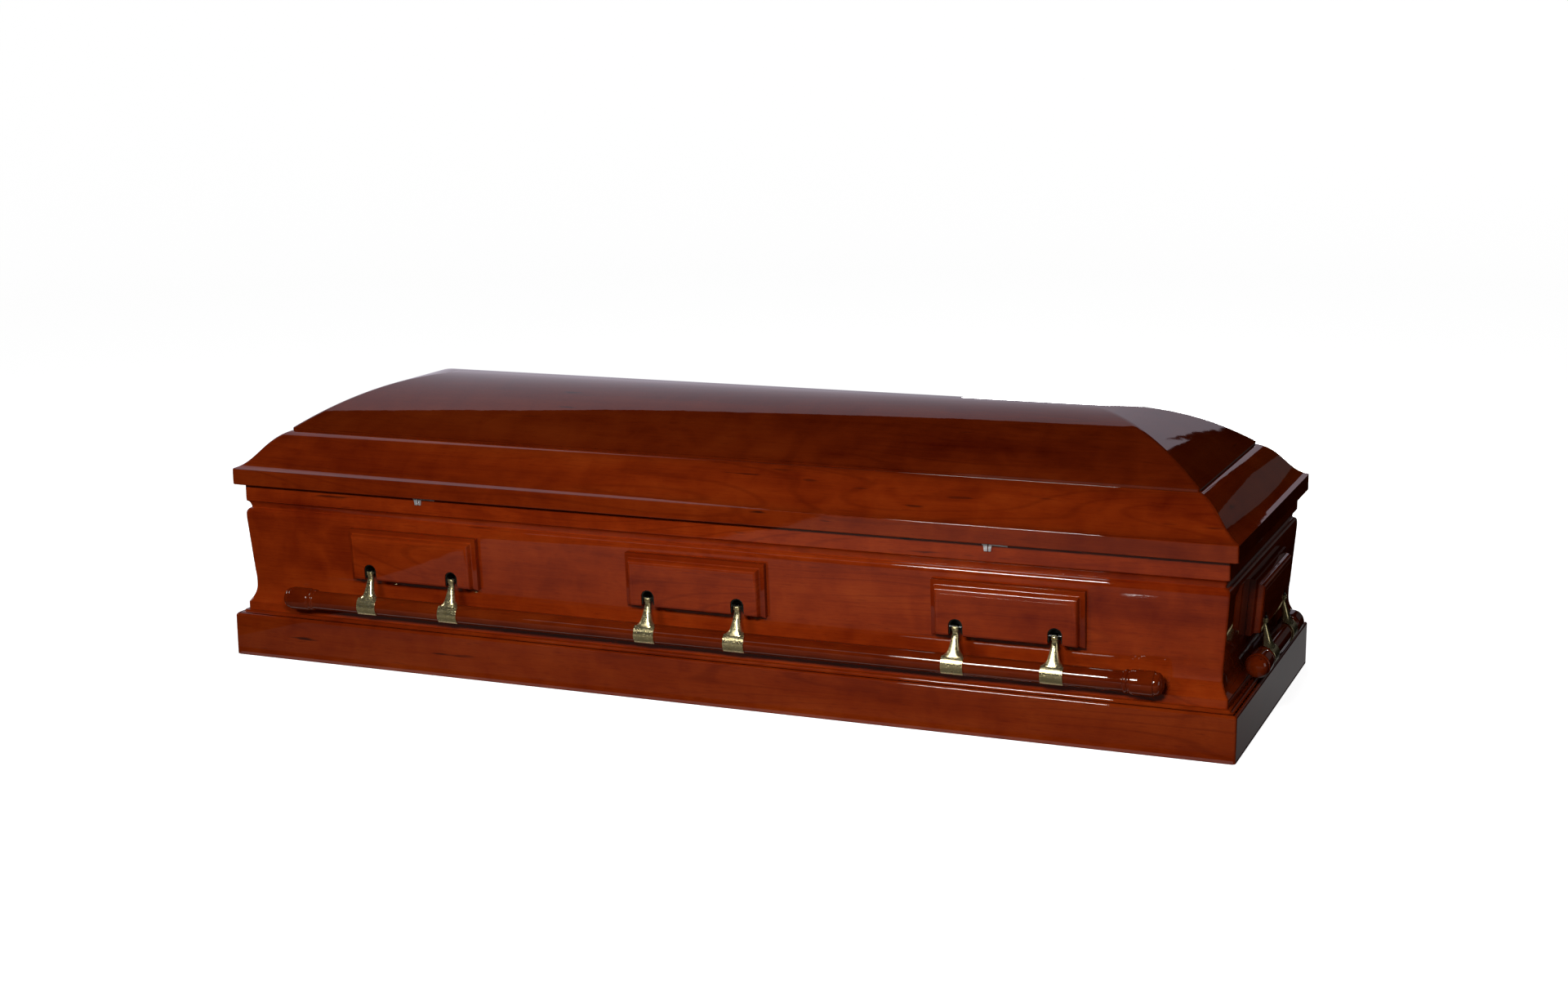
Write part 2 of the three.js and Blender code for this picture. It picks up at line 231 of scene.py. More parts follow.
def object_place(tree):
    """The object coordinates."""
    return add_node(tree, "ShaderNodeTexCoord").outputs["Object"]


def axes_of(tree, place):
    """The three coordinates of a place."""
    return add_node(tree, "ShaderNodeSeparateXYZ", {"Vector": place}).outputs


def wood_place(tree, quarters, shift):
    """Object coordinates with the grain laid along X, moved to another part of the tree."""
    return add_node(tree, "ShaderNodeMapping", {
        "Vector": object_place(tree), "Rotation": (0, 0, quarters % 2 * pi / 2),
        "Location": shift}).outputs[0]


def new_material(name):
    """An empty node material and its node tree."""
    material = bpy.data.materials.new(name)
    material.use_nodes = True
    material.node_tree.nodes.clear()
    return material, material.node_tree


def set_surface(tree, inputs, kind="ShaderNodeBsdfPrincipled"):
    """Makes a shader with its inputs and links it to the material's output."""
    shader = add_node(tree, kind, inputs)
    add_node(tree, "ShaderNodeOutputMaterial", {"Surface": shader.outputs[0]})


def edge_band(tree, axis, centre, half_width, half_height):
    """1 on the outer band of a raised panel's moulding and 0 inside it."""
    axes = axes_of(tree, object_place(tree))
    along = maths(tree, "ABSOLUTE", maths(tree, "SUBTRACT", axes[axis], centre))
    upward = maths(tree, "ABSOLUTE", maths(tree, "SUBTRACT", axes["Z"], PANEL_MIDDLE))
    past = maths(tree, "MAXIMUM", maths(tree, "SUBTRACT", along, half_width),
                 maths(tree, "SUBTRACT", upward, half_height))
    return window(tree, past, -1.5 * MM, 1.0 * MM)


def lacquered_wood(name, look, quarters, shift, tone, band=None):
    """Stained hardwood under clear gloss lacquer: figure, fibres, pores and mineral streaks. A
    raised panel's outer band is darkened; band holds the arguments of edge_band."""
    material, tree = new_material(name)
    place = wood_place(tree, quarters, shift)

    patches = noise(tree, place, (1.5, 10, 10), (3, 1, 2), detail=3.0)
    mottle = noise(tree, place, (17, 15, 15), (7, 2, 5), detail=3.0, distortion=0.5)
    fibres = noise(tree, place, (11, 420, 420), (1, 8, 3), detail=3.0)
    ribbons = noise(tree, place, (2.4, 60, 60), (2, 6, 9))
    shade = weighted_sum(tree, ((patches, 0.75), (mottle, 0.42), (fibres, 0.20), (ribbons, 0.16)))
    ramp = add_node(tree, "ShaderNodeValToRGB", {"Fac": shade})
    stops = ramp.color_ramp.elements
    stops.new(0.5)
    stains = ((0.24, look.dark), (0.5, look.middle), (0.78, look.light))
    for stop, (position, stain) in zip(stops, stains):
        stop.position = position
        stop.color = opaque(stain, tone)

    contour = noise(tree, place, (0.8, 6.5, 6.5), (9, 4, 6), detail=1.2, distortion=0.2)
    rings = maths(tree, "SINE", maths(tree, "MULTIPLY", contour, 120.0))
    ring_places = noise(tree, place, (1.0, 3.0, 3.0), (5, 5, 1), detail=1.0)
    ring_share = maths(
        tree, "MULTIPLY", window(tree, rings, 0.72, 1.0, 0.0, 0.28),
        window(tree, ring_places, 0.44, 0.56))
    flecks = noise(tree, place, (30, 300, 300), (4, 4, 4), detail=1.5)
    fleck_share = window(tree, flecks, 0.60, 0.76, 0.0, 0.30)
    pores = noise(tree, place, (90, 1400, 1400), (8, 1, 4), detail=1.0)
    pore_share = window(tree, pores, 0.58, 0.74, 0.0, 0.22)
    streaks = noise(tree, place, (9, 95, 95), (6, 2, 7), detail=1.5)
    streak_places = noise(tree, place, (1.6, 7, 7), (8, 3, 5), detail=0.5)
    streak_share = maths(
        tree, "MULTIPLY", window(tree, streaks, 0.69, 0.76, 0.0, 0.85),
        window(tree, streak_places, 0.57, 0.65))
    dark = opaque(look.dark, tone * 0.75)
    pore = opaque(look.pore)
    layers = [(ring_share, dark), (fleck_share, dark), (pore_share, pore), (streak_share, pore)]
    if band:
        layers.append((maths(tree, "MULTIPLY", edge_band(tree, *band), 0.5), dark))
    colour = ramp.outputs["Color"]
    for share, stain in layers:
        colour = blend_colours(tree, share, colour, stain)

    sags = noise(tree, place, (16, 24, 24), (7, 7, 7), detail=1.0)
    sinkage = noise(tree, place, (130, 420, 420), (2, 3, 4))
    wood_height = maths(tree, "SUBTRACT", fibres, maths(tree, "MULTIPLY", pore_share, 1.5))
    lacquer_height = maths(
        tree, "ADD", maths(tree, "MULTIPLY", sags, 0.12 * MM), maths(tree, "MULTIPLY", sinkage, 0.008 * MM))
    set_surface(tree, {
        "Base Color": colour, "Roughness": window(tree, fibres, 0.3, 0.7, 0.30, 0.46),
        "Normal": bump(tree, wood_height, 0.35, 0.06 * MM), "Specular IOR Level": 0.0,
        "Coat Weight": 1.0, "Coat IOR": 1.42, "Coat Roughness": look.lacquer_roughness,
        "Coat Normal": bump(tree, lacquer_height, 1.0, 1.0)})
    return material


def bare_wood(name, look):
    """Sanded, unlacquered board with its grain along the casket."""
    material, tree = new_material(name)
    place = wood_place(tree, 0, (4, 2, 1))
    fibres = noise(tree, place, (6, 240, 240), (1, 2, 3), detail=3.0)
    patches = noise(tree, place, (1.2, 11, 11), (5, 2, 4))
    knots = noise(tree, place, (3.0, 14, 14), (2, 9, 4), detail=1.0, distortion=0.4)
    rings = window(tree, maths(tree, "SINE", maths(tree, "MULTIPLY", knots, 44.0)), -1.0, 1.0)
    shade = 0.0
    for value, weight in ((fibres, 0.4), (patches, 0.4), (rings, 0.16)):
        shade = maths(tree, "ADD", maths(tree, "MULTIPLY", value, weight), shade)
    set_surface(tree, {
        "Base Color": blend_colours(
            tree, window(tree, shade, 0.25, 0.75), opaque(look.bare, 0.55), opaque(look.bare)),
        "Roughness": window(tree, fibres, 0.3, 0.7, 0.55, 0.75),
        "Normal": bump(tree, fibres, 0.5, 0.2 * MM)})
    return material


def satin_brass(name, look):
    """Cast brass, brushed across, aged in patches and black above the collar."""
    material, tree = new_material(name)
    place = object_place(tree)
    patches = noise(tree, place, (60, 60, 60), (3, 1, 7), detail=3.0)
    specks = noise(tree, place, (420, 420, 420), (5, 8, 2))
    brushing = noise(tree, place, (150, 150, 2400), (2, 6, 4))
    aged_share = maths(tree, "ADD", window(tree, patches, 0.40, 0.70, 0.12, 0.45),
                       window(tree, specks, 0.60, 0.75, 0.0, 0.18))
    colour = blend_colours(tree, aged_share, opaque(look.brass), opaque(look.aged))
    height = axes_of(tree, place)["Z"]
    black_share = window(tree, height, COLLAR_TOP - 0.3 * MM, COLLAR_TOP + 0.3 * MM)
    grain = maths(tree, "ADD", maths(tree, "MULTIPLY", brushing, 0.35), specks)
    set_surface(tree, {
        "Base Color": blend_colours(tree, black_share, colour, opaque(look.black)), "Metallic": 0.9,
        "Roughness": maths(tree, "ADD", window(tree, patches, 0.3, 0.7, 0.22, 0.28),
                           window(tree, brushing, 0.35, 0.65, 0.0, 0.05)),
        "Normal": bump(tree, grain, 0.2, 0.02 * MM)})
    return material


def painted_black(name, look):
    """Glossy black paint on metal, with a light orange peel and rubbed specks."""
    material, tree = new_material(name)
    place = object_place(tree)
    peel = noise(tree, place, (300, 300, 300), (1, 4, 2))
    wear = noise(tree, place, (180, 180, 180), (6, 2, 3), detail=3.0)
    set_surface(tree, {
        "Base Color": blend_colours(
            tree, window(tree, wear, 0.55, 0.75, 0.0, 0.6), opaque(look.black), opaque(look.rubbed)),
        "Roughness": window(tree, peel, 0.3, 0.7, 0.12, 0.24),
        "Normal": bump(tree, peel, 0.4, 0.04 * MM)})
    return material


def bright_plating(name, look):
    """Bright plated metal with fine scuffs."""
    material, tree = new_material(name)
    place = object_place(tree)
    scuffs = noise(tree, place, (900, 900, 120), (3, 3, 1))
    clouds = noise(tree, place, (90, 90, 90), (7, 1, 5))
    set_surface(tree, {
        "Base Color": blend_colours(
            tree, window(tree, clouds, 0.4, 0.7, 0.0, 0.4), opaque(look.bright), opaque(look.haze)),
        "Metallic": 0.7, "Roughness": window(tree, scuffs, 0.3, 0.7, 0.28, 0.45),
        "Normal": bump(tree, scuffs, 0.3, 0.03 * MM)})
    return material


def floor_paper(name, look):
    """Pale paper floor, kept near white by its own glow, under which soft shadows still show."""
    material, tree = new_material(name)
    fibre = noise(tree, object_place(tree), (40, 40, 40), (0, 0, 0), detail=3.0)
    set_surface(tree, {
        "Base Color": opaque(look.floor), "Roughness": window(tree, fibre, 0.3, 0.7, 0.8, 0.95),
        "Specular IOR Level": 0.0, "Emission Color": (1, 1, 1, 1), "Emission Strength": 0.93})
    return material


# Mesh helpers

def curve(start, first, second, end, steps):
    """Points of a cubic curve from just after its start to its end."""
    points = interpolate_bezier(Vector(start), Vector(first), Vector(second), Vector(end), steps + 1)
    return [tuple(point)[:2] for point in points[1:]]


def continued(points, *curves):
    """Points with cubic curves added. Each starts where the last one ends and is given by its two
    handles, its end and its steps."""
    for first, second, end, steps in curves:
        points = points + curve(points[-1], first, second, end, steps)
    return points


def rounded(before, corner, after, radius, steps=ARC_STEPS):
    """Points of a corner that is rounded off by an arc."""
    corner = Vector(corner)
    start = corner + (Vector(before) - corner).normalized() * radius
    end = corner + (Vector(after) - corner).normalized() * radius
    first = start.lerp(corner, ARC_HANDLE)
    second = end.lerp(corner, ARC_HANDLE)
    return [tuple(start)] + curve(start, first, second, end, steps)


def verts_of(result, key="geom"):
    """The vertices that a bmesh operator returned."""
    return [item for item in result[key] if isinstance(item, bmesh.types.BMVert)]


def edges_of(result):
    """The edges that a bmesh operator returned."""
    return [item for item in result["geom"] if isinstance(item, bmesh.types.BMEdge)]


def everything(shape):
    """All vertices, edges and faces of a bmesh."""
    return shape.verts[:] + shape.edges[:] + shape.faces[:]


def turned_side(quarters):
    """The turn about Z that takes a front to its side."""
    return Matrix.Rotation(quarters * pi / 2, 4, "Z")


def transform(shape, place):
    """Transforms a whole bmesh by a matrix."""
    bmesh.ops.transform(shape, matrix=place, verts=shape.verts)


def move(shape, *offset):
    """Moves a whole bmesh."""
    bmesh.ops.translate(shape, vec=offset, verts=shape.verts)


def grid_face(width, height):
    """A bmesh with one flat face round the origin, its width along X and its height along Y."""
    shape = bmesh.new()
    bmesh.ops.create_grid(shape, x_segments=1, y_segments=1, size=0.5)
    bmesh.ops.scale(shape, vec=(width, height, 1), verts=shape.verts)
    return shape


def edge_chain(places):
    """A bmesh with one chain of edges through places."""
    shape = bmesh.new()
    row = [shape.verts.new(place) for place in places]
    for pair in zip(row, row[1:]):
        shape.edges.new(pair)
    return shape


def extruded(shape, faces, height):
    """Extrudes faces of a bmesh along Z and gives what that made."""
    made = bmesh.ops.extrude_face_region(shape, geom=faces)
    bmesh.ops.translate(shape, vec=(0, 0, height), verts=verts_of(made))
    return made


def bevel(shape, parts, width, steps, affect="EDGES", clamp=False):
    """Rounds edges or corners off."""
    bmesh.ops.bevel(
        shape, geom=parts, offset=width, offset_type="OFFSET", segments=steps, profile=0.5,
        affect=affect, clamp_overlap=clamp, material=-1)


def spin_about_x(shape, parts, height, steps, inset=0, angle=2 * pi):
    """Spins parts about a line along X, all the way round unless an angle is given."""
    bmesh.ops.spin(
        shape, geom=parts, cent=(0, inset, height), axis=(1, 0, 0), angle=angle, steps=steps,
        use_merge=angle == 2 * pi)


def close_shape(shape):
    """Merges doubles, fills the cut ends and points every face outwards."""
    bmesh.ops.remove_doubles(shape, verts=shape.verts, dist=TOUCH)
    bmesh.ops.dissolve_degenerate(shape, edges=shape.edges, dist=TOUCH)
    open_edges = [edge for edge in shape.edges if edge.is_boundary]
    if open_edges:
        bmesh.ops.holes_fill(shape, edges=open_edges, sides=0)
    bmesh.ops.recalc_face_normals(shape, faces=shape.faces)


def mesh_from(name, shape):
    """A mesh made of a bmesh, which is freed."""
    mesh = bpy.data.meshes.new(name)
    shape.to_mesh(mesh)
    shape.free()
    return mesh


def add_object(name, data):
    """A new object in the scene."""
    made = bpy.data.objects.new(name, data)
    bpy.context.scene.collection.objects.link(made)
    return made


def finish_piece(node, ending, shape, material, body="root"):
    """Makes the object that stands for a node of the frame, shades it and hangs it on its body."""
    mesh = mesh_from(f"{node}_{ending}", shape)
    mesh.polygons.foreach_set("use_smooth", [True] * len(mesh.polygons))
    mesh.set_sharp_from_angle(angle=SMOOTH_ANGLE)
    mesh.materials.append(material)
    piece = add_object(mesh.name, mesh)
    weighted = piece.modifiers.new("Even shading", "WEIGHTED_NORMAL")
    weighted.keep_sharp = True
    weighted.weight = 80
    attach(piece, body)
    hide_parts(node)


def merge_shapes(target, source):
    """Adds a bmesh to another and frees it."""
    mesh = mesh_from("merge", source)
    target.from_mesh(mesh)
    bpy.data.meshes.remove(mesh)


def joined_solid(base, tool, operation):
    """The union or difference of two closed bmeshes, as a new bmesh."""
    whole = add_object("base", mesh_from("base", base))
    other = add_object("tool", mesh_from("tool", tool))
    cut = whole.modifiers.new("Solid", "BOOLEAN")
    cut.operation = operation
    cut.object = other
    cut.solver = "EXACT"
    bpy.context.view_layer.update()
    evaluated = whole.evaluated_get(bpy.context.evaluated_depsgraph_get())
    result = bmesh.new()
    result.from_mesh(evaluated.to_mesh())
    evaluated.to_mesh_clear()
    for made in (whole, other):
        mesh = made.data
        bpy.data.objects.remove(made)
        bpy.data.meshes.remove(mesh)
    return result


# Mitred boards. Each kind has an outline, given as insets and heights in millimetres for the sizes
# and for half the depth between a side and the one opposite

def base_outline(sizes, _):
    """Base moulding: a flat face, a rounded nose and a small cove up to the side boards."""
    thickness = 20
    nose_round = 5
    points = [(thickness, 0)]
    points += rounded((thickness, 0), (0, 0), (0, 84), sizes.arris_round / MM)
    points += rounded((0, 0), (0, 89), (9, 89.5), nose_round, 6) + [(8.6, 89.5)]
    points = continued(points, ((11.8, 89.6), (13.9, 91.6), (14, 94.5), 6))
    return points + [(14.3, 94.9), (thickness, 95)]


def side_outline(sizes, _):
    """Side board: foot, coved waist, sloping land, rounded shoulder, a notch and the top band.
    A groove inside takes the bottom board."""
    foot, foot_inset = 8, 20.3
    top, band_inset = 361.7, 24
    inner, groove = 52, 44
    groove_low, groove_high = 25.7, 44.3
    land_low = (LAND_LOW[0] / MM, LAND_LOW[1] / MM)
    land_high = (LAND_HIGH[0] / MM, LAND_HIGH[1] / MM)
    points = continued(
        [(foot_inset, foot), (foot_inset, 111)],
        ((26, 119), (33.5, 128), (33.5, 148), CURVE_STEPS),
        ((33.5, 162), (33, 168), land_low, 8))
    points = continued(
        points + [land_high],
        ((22.8, 302.5), (23.2, 308.6), (31.2, 310.6), CURVE_STEPS),
        ((32.3, 311.9), (32.2, 312.8), (31.6, 314.2), 4),
        ((30.3, 320), (28, 323.5), (25.6, 324.8), 8),
        ((24.4, 325.4), (24, 326.2), (band_inset, 327.6), 4))
    points += rounded(
        (band_inset, 340), (band_inset, top), (inner, top), sizes.arris_round / MM / 2, 3)
    return points + [
        (inner, top), (inner, groove_high), (groove, groove_high), (groove, groove_low),
        (inner, groove_low), (inner, foot),
    ]


def rim_outline(sizes, _):
    """Lid rim: a square nose, then a long ogee up to the crown, hollow underneath."""
    seam = SEAM / MM
    seat = CROWN_SEAT / MM
    inner, seat_inner = 52, 112
    nose_inset, nose_top = 6.5, 396
    points = [(inner, seam)]
    points += rounded(
        (inner, seam), (nose_inset, seam), (nose_inset, nose_top), sizes.arris_round / MM)
    points += rounded((nose_inset, seam), (nose_inset, nose_top), (48, 404), sizes.nose_round / MM, 6)
    points += curve((10.5, 396.8), (43, 408), (56, 455), (97, seat), 28)
    return continued(
        points + [(seat_inner, seat), (seat_inner, 452)], ((82, 442), (76, 396), (inner, 384), 10))


def crown_outline(_, half_depth):
    """Lid crown: a lip on the rim boards, then a parabola that is level along the middle."""
    seat_gap = 0.1
    seat = CROWN_SEAT / MM + seat_gap
    edge = seat + 5.9
    lip_inset = 98
    lip_round = 0.8
    lip_run = 1.2
    seat_inner = 112
    thickness = 18
    steps = 40
    middle = HALF_WIDTH / MM
    top_inset = middle if half_depth == HALF_WIDTH else middle - 0.2
    fall = (CROWN_TOP / MM - edge) / (middle - lip_inset) ** 2

    def height(inset):
        return CROWN_TOP / MM - fall * (middle - inset) ** 2

    further = lip_inset + 10
    points = [(lip_inset, seat)]
    points += rounded((lip_inset, seat), (lip_inset, edge), (further, height(further)), lip_round)
    start = lip_inset + lip_run
    insets = [start + (top_inset - start) * step / steps for step in range(steps + 1)]
    points += [(inset, height(inset)) for inset in insets]
    points += [(inset, height(inset) - thickness) for inset in reversed(insets[4::4])]
    return points + [(seat_inner, seat)]


def mitred_board(outline, half_run, half_depth, corner_round):
    """A board between two mitres: its outline is swept round both corners of the casket, the
    corners are rounded, and what lies past the mitres is cut off."""
    board = bmesh.new()
    row = [
        board.verts.new((inset * MM - half_run, inset * MM - half_depth + CAP_STUB, height * MM))
        for inset, height in outline
    ]
    loop = [board.edges.new(pair) for pair in zip(row, row[1:] + row[:1])]
    moves = (
        Matrix.Translation((0, -CAP_STUB, 0)),
        Matrix.Scale(-1, 4, (1, 0, 0)),
        Matrix.Translation((0, CAP_STUB, 0)),
    )
    rows = []
    for step in moves:
        made = bmesh.ops.extrude_edge_only(board, edges=loop)
        row = set(verts_of(made))
        bmesh.ops.transform(board, matrix=step, verts=list(row))
        loop = [edge for edge in edges_of(made) if row.issuperset(edge.verts)]
        rows.append(loop)
    bmesh.ops.recalc_face_normals(board, faces=board.faces)
    corners = [
        edge for edge in rows[0] + rows[1]
        if edge.is_convex and edge.calc_face_angle(0) > CORNER_ANGLE
    ]
    bevel(board, corners, corner_round, MITRE_STEPS)
    for end in (-1, 1):
        bmesh.ops.bisect_plane(
            board, geom=everything(board), dist=TOUCH, plane_co=(end * half_run, -half_depth, 0),
            plane_no=(end, 1, 0), clear_outer=True)
    close_shape(board)
    return board


def add_boards(context, kind, outline_of, tone, shift):
    """The four mitred boards of one kind, one for each side. The tone scales their stain and stands
    in part for painted shade; the shift takes them from another part of the tree."""
    sizes = context.scene.casket_sizes
    look = context.scene.casket_wood
    for number, (side, quarters, half_run, half_depth) in enumerate(SIDES):
        outline = outline_of(sizes, half_depth)
        board = mitred_board(outline, half_run, half_depth, sizes.corner_round)
        transform(board, turned_side(quarters))
        material = lacquered_wood(
            f"lacquer_{kind}_{side}", look, quarters, tone=tone,
            shift=(shift + 1.7 * number, 0.9 * shift, 0.4 * number))
        finish_piece(f"{kind}_{side}", "board", board, material)


class CASKET_OT_base_mouldings(bpy.types.Operator):
    """Add the four mitred base mouldings"""
    bl_idname = "casket.base_mouldings"
    bl_label = "Base Mouldings"

    def execute(self, context):
        add_boards(context, "base_moulding", base_outline, tone=0.86, shift=2.3)
        return {"FINISHED"}


class CASKET_OT_side_boards(bpy.types.Operator):
    """Add the four shaped side boards"""
    bl_idname = "casket.side_boards"
    bl_label = "Side Boards"

    def execute(self, context):
        add_boards(context, "side_board", side_outline, tone=1.12, shift=5.1)
        return {"FINISHED"}


class CASKET_OT_lid_rims(bpy.types.Operator):
    """Add the four rim boards of the lid"""
    bl_idname = "casket.lid_rims"
    bl_label = "Lid Rims"

    def execute(self, context):
        # The rim's tone is partly painted shade, darkening its upward-facing ogee
        add_boards(context, "lid_rim", rim_outline, tone=0.80, shift=7.7)
        return {"FINISHED"}


class CASKET_OT_lid_crowns(bpy.types.Operator):
    """Add the four crown boards of the lid"""
    bl_idname = "casket.lid_crowns"
    bl_label = "Lid Crowns"

    def execute(self, context):
        # The crown's low tone is painted shade, darkening the lid's upward-facing top
        add_boards(context, "lid_crown", crown_outline, tone=0.50, shift=9.4)
        return {"FINISHED"}


class CASKET_OT_bottom_board(bpy.types.Operator):
    """Finish the bottom board in bare wood"""
    bl_idname = "casket.bottom_board"
    bl_label = "Bottom Board"

    def execute(self, context):
        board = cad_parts["bottom_board"]
        board.data.materials.clear()
        board.data.materials.append(bare_wood("bare_bottom_board", context.scene.casket_wood))
        return {"FINISHED"}


# Raised panels and lugs

def panel_centres(side):
    """Where the panels stand along a side."""
    return (0,) if side.endswith("end") else (-PANEL_PITCH, 0, PANEL_PITCH)


def panel_sites():
    """Each panel's side and number, its side's quarter turns, and where it stands: its distance
    along the side and the place of its own frame, which runs along, up the face and out of it."""
    for side, quarters, _, half_depth in SIDES:
        for number, along in enumerate(panel_centres(side), 1):
            place = turned_side(quarters) @ Matrix.Translation(
                (along, PANEL_INSET - half_depth, PANEL_MIDDLE))
            yield side, number, quarters, along, place @ Matrix.Rotation(pi / 2 + LAND_ANGLE, 4, "X")


def on_panel_face(inset, height):
    """A place given by inset and height, as up and out in a panel's own frame."""
    inward = inset - PANEL_INSET
    up = height - PANEL_MIDDLE
    return (
        -sin(LAND_ANGLE) * inward + cos(LAND_ANGLE) * up,
        -cos(LAND_ANGLE) * inward - sin(LAND_ANGLE) * up,
    )


def slot_form(radius, foot, low, high):
    """A solid U, round at its top, from below the panel's edge up round an arm's eye."""
    form = edge_chain(((radius, foot, low), (-radius, foot, low), (-radius, SLOT_CENTRE, low)))
    foot_vert, _, shoulder = form.verts
    arc = bmesh.ops.spin(
        form, geom=[shoulder], cent=(0, SLOT_CENTRE, low), axis=(0, 0, -1), angle=pi,
        steps=20, use_merge=False)
    form.edges.new((verts_of(arc, "geom_last")[0], foot_vert))
    bmesh.ops.edgenet_fill(form, edges=form.edges)
    extruded(form, form.faces[:], high - low)
    bmesh.ops.recalc_face_normals(form, faces=form.faces)
    return form


def raised_panel(sizes):
    """A panel whose moulding steps up from its edge to a flat field, with two slots for arms."""
    edge = 10.5 * MM
    field_inset = 21.5 * MM
    tall = sizes.panel_height + field_inset - FOOT_BEVEL
    # Insets and rises of the moulding between the edge and the field, in millimetres
    moulding = (
        (0.15, 0.35), (0.25, 0.2), (7.2, 2.5), (1.1, 0.55), (0.4, 0.4), (0.4, 1.2), (0.6, 2.6),
        (0.7, 2.7), (0.8, 2.0), (0.8, 1.2), (0.9, 0.8), (1.7, 0.85), (1.7, 0.3), (2.5, 0.05),
        (1.7, -0.1), (0.35, 0.15), (0.25, 0.25),
    )
    form = grid_face(sizes.panel_width, tall)
    raised = extruded(form, form.faces[:], edge)["geom"]
    field = [item for item in raised if isinstance(item, bmesh.types.BMFace)][0]
    if field.normal.z < 0:
        field.normal_flip()
    for inset, rise in moulding:
        bmesh.ops.inset_region(
            form, faces=[field], thickness=inset * MM, depth=rise * MM,
            use_even_offset=True, use_boundary=True)
    # The bevel along the foot is narrower: its rows are drawn together towards the field
    foot_line = field_inset - tall / 2
    foot_rows = [vert for vert in form.verts if vert.co.y < foot_line + TOUCH]
    bmesh.ops.scale(
        form, vec=(1, FOOT_BEVEL / field_inset, 1), verts=foot_rows,
        space=Matrix.Translation((0, -foot_line, 0)))
    move(form, 0, (FOOT_BEVEL - field_inset) / 2, 0)
    bmesh.ops.recalc_face_normals(form, faces=form.faces)
    cutters = bmesh.new()
    below = -sizes.panel_height / 2 - 5 * MM
    for x in (-ARM_OFFSET, ARM_OFFSET):
        cutter = slot_form(sizes.slot_radius, below, -1 * MM, 30 * MM)
        move(cutter, x, 0, 0)
        merge_shapes(cutters, cutter)
    return joined_solid(form, cutters, "DIFFERENCE")


def cross_rod(radius, length, sides, centre):
    """A cylinder across X round a centre."""
    rod = bmesh.new()
    bmesh.ops.create_cone(
        rod, cap_ends=True, segments=sides, radius1=radius, radius2=radius, depth=length)
    transform(rod, Matrix.Translation(centre) @ Matrix.Rotation(pi / 2, 4, "Y"))
    return rod


def arm_lug(sizes):
    """One black lug: a U-shaped liner with a rounded rim, a back and a pivot pin across it."""
    play = 0.3 * MM
    outer = sizes.slot_radius - play
    wall = 2.6 * MM
    back = 2.5 * MM
    front = 25.1 * MM
    pin_radius = 3 * MM
    foot = FOOT_BEVEL - sizes.panel_height / 2
    below = foot - 12 * MM
    lug = slot_form(outer, below, 0, front)
    mouth = max(lug.faces, key=lambda face: face.calc_center_median().z)
    bmesh.ops.inset_region(lug, faces=[mouth], thickness=wall, depth=0, use_even_offset=True)
    rim = [edge for edge in lug.edges if edge.calc_face_angle(0) > CORNER_ANGLE
           and all(vert.co.z > front - TOUCH for vert in edge.verts)]
    inner = mouth.edges[:]
    extruded(lug, [mouth], back - front)
    bmesh.ops.delete(lug, geom=[mouth], context="FACES_ONLY")
    bmesh.ops.recalc_face_normals(lug, faces=lug.faces)
    bevel(lug, [edge for edge in set(rim + inner) if edge.is_valid], 0.9 * MM, 3, clamp=True)
    bmesh.ops.bisect_plane(
        lug, geom=everything(lug), dist=TOUCH, plane_co=(0, foot, 0), plane_no=(0, -1, 0),
        clear_outer=True)
    close_shape(lug)
    up, out = on_panel_face(PIVOT_INSET, PIVOT_HEIGHT)
    merge_shapes(lug, cross_rod(pin_radius, 2 * outer - wall, 24, (0, up, out - PANEL_GAP)))
    return lug


class CASKET_OT_raised_panels(bpy.types.Operator):
    """Add the raised panels, three on each long side and one on each end"""
    bl_idname = "casket.raised_panels"
    bl_label = "Raised Panels"

    def execute(self, context):
        sizes = context.scene.casket_sizes
        look = context.scene.casket_wood
        for side, number, quarters, along, place in panel_sites():
            panel = raised_panel(sizes)
            transform(panel, place @ Matrix.Translation((0, 0, PANEL_GAP)))
            axis = quarters % 2
            centre = (turned_side(quarters) @ Vector((along, 0, 0)))[axis]
            band = (axis, centre, sizes.panel_width / 2 - PANEL_BAND,
                    sizes.panel_height / 2 - PANEL_BAND)
            material = lacquered_wood(
                f"lacquer_panel_{side}_{number}", look, quarters, tone=1.12, band=band,
                shift=(11 + 2.1 * number, 1.3 * quarters, 0.7 * number))
            finish_piece(
                f"raised_panel_{side}_{number}", "form", panel, material)
        return {"FINISHED"}


class CASKET_OT_arm_lugs(bpy.types.Operator):
    """Add the black lugs that line the panels' slots"""
    bl_idname = "casket.arm_lugs"
    bl_label = "Arm Lugs"

    def execute(self, context):
        sizes = context.scene.casket_sizes
        material = painted_black("black_lug_paint", context.scene.casket_metal)
        for side, number, _, _, place in panel_sites():
            pair = bmesh.new()
            for x in (-ARM_OFFSET, ARM_OFFSET):
                lug = arm_lug(sizes)
                move(lug, x, 0, PANEL_GAP)
                merge_shapes(pair, lug)
            transform(pair, place)
            finish_piece(f"arm_lugs_{side}_{number}", "cast", pair, material)
        return {"FINISHED"}


# Handles

